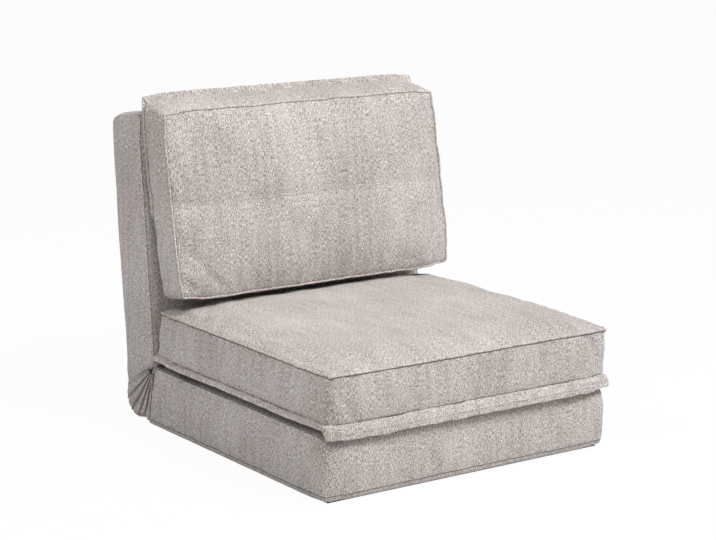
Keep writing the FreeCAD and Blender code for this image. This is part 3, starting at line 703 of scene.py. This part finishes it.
def dent(piece, distance, depth, width):
    # Only the swollen front face moves in
    for vertex in piece.data.vertices:
        gap = distance(vertex.co)
        if vertex.co.y < -near and gap < width * dentShape["reach"]:
            share = math.exp(-(gap / width * dentShape["fall"]) ** dentShape["edge"])
            lift = min(1.0, -vertex.co.y / dentShape["full"])
            vertex.co.y += depth * share * lift


def makeCushionSeams(cushion):
    # The stitch lines are in the lighter seam cloth: painted highlight
    for group, thick in cushionDress["stitches"].items():
        makeStitch(cushion, group + "Stitch", group, thick, litSeamCloth, "back_cushion")
    makeSeam(cushion, "cushionFrontSeam", "frontSeam", cushionDress["lip"], (0, seamDress["drop"], 0),
             "back_cushion", ("cushion_welt_upper", "cushion_welt_lower"),
             (cushionDress["lipGrow"], Vector(cushionDress["foot"]) + Vector(cushionDress["lipMiddle"])))


def makeFin(cushion):
    # The rear seam's doubled fin stands up along the top and narrows down the sides
    fin = keepLoop(cushion, "cushionFin", "rearSeam")
    tilt = math.radians(cushionDress["lean"])
    up = Vector((0, math.sin(tilt), math.cos(tilt)))
    foot = Vector(cushionDress["foot"])
    # The lower half of the seam is plain
    choose(fin, "VERT", lambda vertex: (vertex.co - foot).dot(up) < cushionDress["front"] * finDress["from"])
    bpy.ops.mesh.delete(type="VERT")
    bpy.ops.mesh.select_all(action="SELECT")
    middle = foot + up * cushionDress["front"] * 0.5
    grow = 1 + finDress["spread"] / cushionDress["half"]
    topStart = cushionDress["rear"] - finDress["top"]
    for step in range(finDress["steps"]):
        bpy.ops.mesh.extrude_region_move()
        fresh = picked(fin)
        bpy.ops.transform.resize(value=(grow, 1, 1), center_override=middle)
        choose(fin, "VERT", lambda vertex: vertex.index in fresh and (vertex.co - foot).dot(up) > topStart)
        bpy.ops.transform.translate(value=up * finDress["rise"] / finDress["steps"])
        choose(fin, "VERT", lambda vertex: vertex.index in fresh)
    leave(fin)
    fin.vertex_groups.clear()
    refine(fin)
    ripple(fin, finDress["rippleSize"], finDress["ripple"], "Y")
    doubled(fin, finDress["thick"], finDress["edge"])
    # The fin is in the lighter seam cloth: painted highlight
    finishCloth(fin, litSeamCloth)
    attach(fin, "back_cushion")
    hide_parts("cushion_flange")


# Base and back panel

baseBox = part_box("base_cover")
recline = next(joint for joint in frame["joints"] if joint["name"] == "back_recline")
axisPlace = Vector(recline["pos_m"])
baseDress = {"spacing": 0.0125, "end": 0.03, "corner": (0.04, 4), "nose": (0.034, 10), "toe": (0.014, 2),
             "rim": (0.012, 2), "stretch": 16.0, "bend": 0.8, "pressure": 4.0, "spare": 0.02, "frames": 18,
             "swell": 0.0035, "lumps": (0.004, 0.0016), "lip": 0.0022, "cornerLip": 0.0014, "hem": 0.0008}
backDress = {"lean": 7.0, "thick": 0.126, "long": 0.588, "foot": 0.062, "heel": -0.005, "spacing": 0.0125,
             "corner": (0.042, 4), "rearTop": (0.03, 10), "frontTop": (0.016, 3), "rearSide": (0.014, 3),
             "stretch": 16.0, "bend": 0.8, "pressure": 4.0, "spare": 0.02, "frames": 18, "swell": 0.004,
             "lumps": (0.004, 0.0016), "lip": 0.0022, "faceSkin": 0.004}
lean = math.radians(backDress["lean"])
innerCorner = Vector((0, axisPlace.y - backDress["thick"] / 2 / math.cos(lean)
                      + (baseBox[1].z - axisPlace.z) * math.tan(lean), baseBox[1].z))


def makeBase():
    dress = baseDress
    low = Vector(baseBox[0])
    high = Vector((baseBox[1].x, axisPlace.y - dress["end"], baseBox[1].z))
    base = gridBlock("baseBlock", low, high, dress["spacing"])
    edge, front, rear, top = high.x, low.y, high.y, high.z

    def onSide(place):
        return abs(abs(place.x) - edge) < near

    sideTop = markLoop(base, "topSeam", lambda place: onSide(place) and place.z > top - near)
    markLoop(base, "cornerSeam", lambda place: onSide(place) and place.y < front + near)
    levels = sorted({round(vertex.co.z, 5) for vertex in base.data.vertices})
    markLoop(base, "hem", lambda place: abs(place.z - levels[1]) < near
             and (onSide(place) or place.y < front + near))
    under = numbersOf(base, lambda place: place.z < low.z + near)
    end = numbersOf(base, lambda place: place.y > rear - near)
    # The end slopes to meet the gathered elbow
    slant(base, 2, low.z, top, 1, front, (innerCorner.y - rear) / (rear - front))
    soften(base, dress["corner"], "xy",
           lambda place, reach: abs(place.x) > edge - reach and place.y < front + reach)
    soften(base, dress["nose"], "yz",
           lambda place, reach: place.z > top - reach and place.y < front + reach)
    soften(base, dress["toe"], "yz",
           lambda place, reach: place.z < low.z + reach and place.y < front + reach)
    soften(base, dress["rim"], "xz",
           lambda place, reach: place.z > top - reach and abs(place.x) > edge - reach)
    stuff(base, sideTop + under + end, dict(dress, caps=lambda place: dress["swell"]))
    level = [vertex.index for vertex in base.data.vertices if vertex.normal.z > 0.9]
    lump(base, under + end + level, dress["lumps"])
    refine(base)
    finishCloth(base, cover)
    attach(base, "base")
    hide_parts("base_cover", "base_foam_upper", "base_foam_lower")
    makeSeam(base, "baseTopSeam", "topSeam", dress["lip"], (0, 0, -seamDress["drop"]), "base", ("base_welt",))
    # The corner seam is in the lighter seam cloth: painted highlight
    makeStitch(base, "basecornerSeam", "cornerSeam", dress["cornerLip"], litSeamCloth, "base")
    makeStitch(base, "basehem", "hem", dress["hem"], thread, "base")


def makeBack():
    dress = backDress
    half, deep, long, foot = baseBox[1].x, dress["thick"] / 2, dress["long"], dress["foot"]
    back = gridBlock("backPanel", (-half, -deep, foot), (half, deep, long), dress["spacing"])
    frontSeam = markLoop(back, "frontSeam", lambda place: place.y < -deep + near and
                         (abs(abs(place.x) - half) < near or place.z > long - near))
    end = numbersOf(back, lambda place: place.z < foot + near)
    # The foot slopes from the inner corner to the elbow's top
    slant(back, 1, -deep, deep, 2, long, (foot - dress["heel"]) / (long - foot))
    soften(back, dress["corner"], "xz",
           lambda place, reach: abs(place.x) > half - reach and place.z > long - reach)
    soften(back, dress["rearTop"], "yz",
           lambda place, reach: place.z > long - reach and place.y > deep - reach)
    soften(back, dress["frontTop"], "yz",
           lambda place, reach: place.z > long - reach and place.y < -deep + reach)
    soften(back, dress["rearSide"], "xy",
           lambda place, reach: abs(place.x) > half - reach and place.y > deep - reach)
    stuff(back, frontSeam + end, dict(dress, caps=lambda place: dress["swell"]))
    face = numbersOf(back, lambda place: place.y < -deep + dress["faceSkin"])
    lump(back, end + face, dress["lumps"])
    back.rotation_euler = (-lean, 0, 0)
    back.location = axisPlace
    settle(back)
    refine(back)
    finishCloth(back, cover)
    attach(back, "back")
    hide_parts("back_cover", "back_foam_front", "back_foam_rear")
    makeSeam(back, "backFrontSeam", "frontSeam", dress["lip"], (0, seamDress["drop"], 0), "back",
             ("back_welt",))


# The gathered elbow: a fan of pleats between the base's end and the back's foot

elbowDress = {"pleats": 5, "perPleat": 18, "rows": 14, "round": 0.045, "depth": 0.012, "bump": 0.0014,
              "skin": 0.002, "tuck": 0.09, "sunk": 0.004, "sunkEnds": 9, "sideSunk": 1.2, "row": 0.0603,
              "corner": 5, "cornerWide": 0.02, "cornerFrom": 0.8, "bend": 0.28, "crease": 0.0011,
              "lift": 0.001, "lowest": 0.0008, "sharp": 0.5, "fade": 0.35, "level": 0.55, "sideLevel": 0.6,
              "sideRise": 1.6, "sideFlat": 0.62, "middle": 0.07}


def elbowReach(angle):
    # How far the outer round lies from the inner corner, looking along an angle below the level
    rear = axisPlace.y + backDress["thick"] / 2 / math.cos(lean) - axisPlace.z * math.tan(lean)
    radius, lift = elbowDress["round"], elbowDress["lift"]
    slope = math.tan(lean)
    way = Vector((0, math.cos(angle), math.sin(angle)))
    reach = []
    if way.y > 1e-6:
        # The rear face leans: y = rear + z tan(lean)
        reach.append((rear + innerCorner.z * slope - innerCorner.y) / (way.y - way.z * slope))
    if way.z < -1e-6:
        reach.append((innerCorner.z - lift) / -way.z)
    straight = min(reach)
    centre = Vector((0, rear + radius * slope - radius / math.cos(lean), radius + lift)) - innerCorner
    along = centre.dot(way)
    off = centre.length_squared - along * along
    if radius * radius > off:
        return min(straight, along + math.sqrt(radius * radius - off))
    return straight


def makeElbow():
    dress = elbowDress
    half = baseBox[1].x
    start = math.atan2(-innerCorner.z, axisPlace.y - baseDress["end"] - innerCorner.y)
    heel, halfThick = backDress["heel"], backDress["thick"] / 2
    topOut = axisPlace + Vector((0, heel * math.sin(lean) + halfThick * math.cos(lean),
                                 heel * math.cos(lean) - halfThick * math.sin(lean))) - innerCorner
    finish = math.atan2(topOut.z, topOut.y)
    start, finish = start - dress["tuck"], finish + dress["tuck"]
    turn = finish - start
    # The profile is a strip round three sides: down the left side, across, and up the right one
    firstReach = elbowReach(start)
    way = Vector((0, math.cos(start), math.sin(start)))
    elbow = edgeLine("gatheredElbow", half, innerCorner + way * firstReach)
    for side in (-1, 1):
        choose(elbow, "VERT", lambda vertex: abs(vertex.co.x - side * half) < 1e-5)
        move = {"value": -way * firstReach * dress["row"]}
        for row in range(dress["rows"]):
            bpy.ops.mesh.extrude_region_move(TRANSFORM_OT_translate=move)
    bpy.ops.mesh.select_all(action="SELECT")
    bpy.ops.mesh.spin(steps=dress["pleats"] * dress["perPleat"], angle=-turn, center=innerCorner, axis=(1, 0, 0))
    leave(elbow)
    group = elbow.vertex_groups.new(name="creaseShade")
    chooseAll(elbow)
    mesh = bmesh.from_edit_mesh(elbow.data)
    folds = mesh.verts.layers.deform.verify()
    # Each step of the fan is stretched to the outer round, and every pleat stands out and falls in sharply
    for vertex in mesh.verts:
        spoke = Vector((0, vertex.co.y - innerCorner.y, vertex.co.z - innerCorner.z))
        angle = math.atan2(spoke.z, spoke.y)
        share = min(1.0, max(0.0, (angle - start) / turn))
        far = spoke.length / firstReach
        wave = abs(math.sin(math.pi * share * dress["pleats"])) ** dress["sharp"]
        fade = math.sin(math.pi * share) ** dress["fade"]
        # The fan's two ends are sunk under the base and the back
        sunk = dress["sunk"] * (1 - min(1.0, dress["sunkEnds"] * share, dress["sunkEnds"] * (1 - share)))
        angle -= dress["bend"] * turn * math.sin(math.pi * min(1.0, far)) * share * (1 - share)
        grown = elbowReach(angle) * far + (dress["bump"] * (wave - dress["level"]) * fade - sunk) * far ** 3
        unit = Vector((0, math.cos(angle), math.sin(angle)))
        vertex.co.y = innerCorner.y + unit.y * grown
        vertex.co.z = max(innerCorner.z + unit.z * grown, dress["lowest"])
        if abs(vertex.co.x) > half - near:
            flat = min(1.0, dress["sideRise"] * far) * (1 - dress["sideFlat"] * far ** 3)
            out = dress["depth"] * (wave - dress["sideLevel"]) * flat * fade - dress["sideSunk"] * sunk
            # The bottoms of the side pleats are marked for the dark lines of painted crease shade
            if wave < 0.02 and 0.1 < share < 0.9:
                vertex[folds][group.index] = 1.0
            vertex.co.x += math.copysign(out, vertex.co.x)
    bmesh.update_edit_mesh(elbow.data)
    bpy.ops.mesh.select_all(action="SELECT")
    bpy.ops.mesh.remove_doubles(threshold=1e-5)
    bpy.ops.mesh.normals_make_consistent(inside=False)
    # The corner between the outer round and the sides is soft
    choose(elbow, "VERT", lambda vertex: abs(vertex.co.x) > half - dress["cornerWide"]
           and (vertex.co - innerCorner).yz.length > dress["cornerFrom"] * elbowReach(
               math.atan2(vertex.co.z - innerCorner.z, vertex.co.y - innerCorner.y)))
    bpy.ops.mesh.vertices_smooth(factor=0.5, repeat=dress["corner"])
    leave(elbow)
    refine(elbow)
    # Dark lines laid in the side pleats' creases: painted shade, in the dark thread finish
    creaseShade = loopCurve(elbow, "elbowCreaseShade", "creaseShade", dress["crease"])
    useModifier(elbow, "skin", "SOLIDIFY", thickness=dress["skin"], offset=-1)
    finishCloth(elbow, cover)
    mapWeave(creaseShade)
    paint(creaseShade, thread)
    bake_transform(creaseShade)
    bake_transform(elbow)
    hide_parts("elbow_cover", "elbow_foam")


# The inner fold: spare cloth tucked between the base's top and the back's front, drawn out in the bed

foldDress = {"path": ((-0.012, 0.0012), (-0.004, 0.001), (0.001, -0.004), (0.011, -0.019), (0.021, -0.036),
                      (0.025, -0.041), (0.022, -0.03), (0.012, -0.012), (0.0035, 0.0), (0.0005, 0.008),
                      (0.0008, 0.016)), "inset": 0.003, "skin": 0.0014, "across": (0.87, 0.5),
             "middle": (0.015, -0.022)}


def makeInnerFold():
    dress = foldDress
    places = [innerCorner + Vector((0, *step)) for step in dress["path"]]
    fold = edgeLine("innerFold", baseBox[1].x - dress["inset"], places[0])
    for before, after in zip(places, places[1:]):
        bpy.ops.mesh.extrude_region_move(TRANSFORM_OT_translate={"value": after - before})
    bpy.ops.mesh.select_all(action="SELECT")
    bpy.ops.mesh.normals_make_consistent(inside=False)
    leave(fold)
    refine(fold)
    useModifier(fold, "skin", "SOLIDIFY", thickness=dress["skin"], offset=0)
    finishCloth(fold, cover)
    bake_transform(fold)


# Small cloth pieces: the seat's hinge strip, the cushion's hanger and the cloth under the base

trimDress = {"cloth": 0.0016, "cord": 0.0026, "cordEdge": 0.0008, "lift": 0.001, "spacing": 0.01,
             "ripple": 0.0008, "rippleSize": 0.03}
sheetDress = {"spacing": 0.02, "lift": 0.0002, "sink": 0.0001, "ripple": 0.0005, "rippleSize": 0.05,
              "level": 0.9}


def makeRibbon(name, body, node):
    # A flat band that rises to the front and is rolled round a cord there
    dress = trimDress
    low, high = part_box(node)
    start = Vector((0, high.y, low.z + dress["lift"]))
    end = Vector((0, low.y + dress["cord"], high.z - dress["cord"]))
    half, run, thick = high.x, end - start, dress["cloth"] / 2
    band = gridBlock(name, (-half, 0, -thick), (half, run.length, thick), dress["spacing"])
    clearChoice()
    bpy.ops.mesh.primitive_cylinder_add(vertices=16, radius=dress["cord"], depth=2 * half,
                                        location=(0, run.length, 0), rotation=(0, math.pi / 2, 0))
    cord = bpy.context.object
    settle(cord)
    useModifier(cord, "edge", "BEVEL", width=dress["cordEdge"], segments=2, limit_method="ANGLE")
    band.select_set(True)
    bpy.context.view_layer.objects.active = band
    bpy.ops.object.join()
    ripple(band, dress["rippleSize"], dress["ripple"], "Z")
    band.rotation_euler = (math.atan2(run.z, run.y), 0, 0)
    band.location = start
    settle(band)
    # The band and its cord are in the lighter seam cloth: painted highlight
    finishCloth(band, litSeamCloth)
    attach(band, body)
    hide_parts(node)


def makeUnderside():
    dress = sheetDress
    low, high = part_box("base_underside")
    sheet = gridBlock("baseUnderside", (low.x, low.y, low.z + dress["lift"]),
                      (high.x, high.y, high.z - dress["sink"]), dress["spacing"])
    ripple(sheet, dress["rippleSize"], dress["ripple"], "Z", dress["level"])
    finishCloth(sheet, lining)
    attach(sheet, "base")
    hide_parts("base_underside")


# Floor and background

def makeStudio():
    # The world lights the object softly, but is white to the camera, in gloss and through clear parts
    world = Finish("paleStudio", "World")
    rays = [world.add("LightPath", output="Is " + kind + " Ray")
            for kind in ("Camera", "Glossy", "Transmission")]
    seen = rays[0].maths("MAXIMUM", rays[1]).maths("MAXIMUM", rays[2])
    light, white = (world.add("Background", None, {"Color": (1, 1, 1, 1), "Strength": strength})
                    for strength in (studio["world"], 1.0))
    bpy.context.scene.world = world.surface(world.add("MixShader", None, {0: seen, 1: light, 2: white}))

    pale = Finish("paleFloor")
    rays = [pale.add("LightPath", output="Is " + kind + " Ray") for kind in ("Camera", "Glossy")]
    plain = pale.add("BsdfDiffuse", None, {"Color": (*[studio["floorShade"]] * 3, 1)})
    glow = pale.add("Emission", None, {"Color": (1, 1, 1, 1), "Strength": 1.0})
    share = rays[0].maths("MAXIMUM", rays[1]) * studio["floorGlow"]
    clearChoice()
    bpy.ops.mesh.primitive_plane_add(size=studio["floorSize"], location=(0, 0, -studio["floorDrop"]))
    floor = bpy.context.object
    floor.name = "floor"
    paint(floor, pale.surface(pale.add("MixShader", None, {0: share, 1: plain, 2: glow})))
    makeLamp("keyLamp", studio["key"], studio["keyPlace"], studio["keySize"])
    makeLamp("fillLamp", studio["fill"], studio["fillPlace"], studio["fillSize"])


def dressFrame():
    # The carried pieces of the frame get their own finishes
    paints = {
        "frame_steel": plainFinish("blackPaint", (52, 52, 54), 0.45, 0.0, 0.0012, 0.12),
        "hinge_steel": plainFinish("zincPlate", (188, 189, 190), 0.32, 1.0, 0.0015, 0.1),
        "webbing": plainFinish("elasticWebbing", (62, 58, 56), 0.85, 0.0, 0.0016, 0.35, 0.0006),
        "underside_cloth": plainFinish("underCloth", (46, 45, 47), 0.9, 0.0, 0.0022, 0.3, 0.0004),
        "zip": plainFinish("nylonZip", (150, 141, 135), 0.5, 0.0, 0.0014, 0.3, 0.0006),
        "foam": plainFinish("paleFoam", (233, 224, 198), 0.95, 0.0, 0.002, 0.12, 0.0006),
        "fibre_fill": plainFinish("whiteFibre", (236, 236, 232), 0.98, 0.0, 0.003, 0.08, 0.001),
        "upholstery": plainFinish("greigeTrim", (186, 177, 172), 0.92, 0.0, 0.0018, 0.22, 0.0006),
    }
    slots = {part["node"]: part["material_slot"] for part in frame["record"]["subparts"]}
    for name, node in frame["nodes"].items():
        if not node.hide_render:
            paint(node, paints[slots[name]])


makeCamera()
makeStudio()
print("camera, floor and light are set")
seat = makeSeat()
makeSeatSeam(seat)
makeFlange(seat)
print("seat is dressed")
cushion = makeBackCushion()
makeCushionSeams(cushion)
makeFin(cushion)
print("back cushion is dressed")
makeBase()
makeBack()
makeElbow()
makeInnerFold()
makeRibbon("seatHingeStrip", "base", "seat_hinge_strip")
makeRibbon("cushionHanger", "back", "cushion_hanger")
makeUnderside()
print("base, back and elbow are dressed")
dressFrame()
print("frame is painted")
bpy.context.scene.view_settings.view_transform = "Standard"
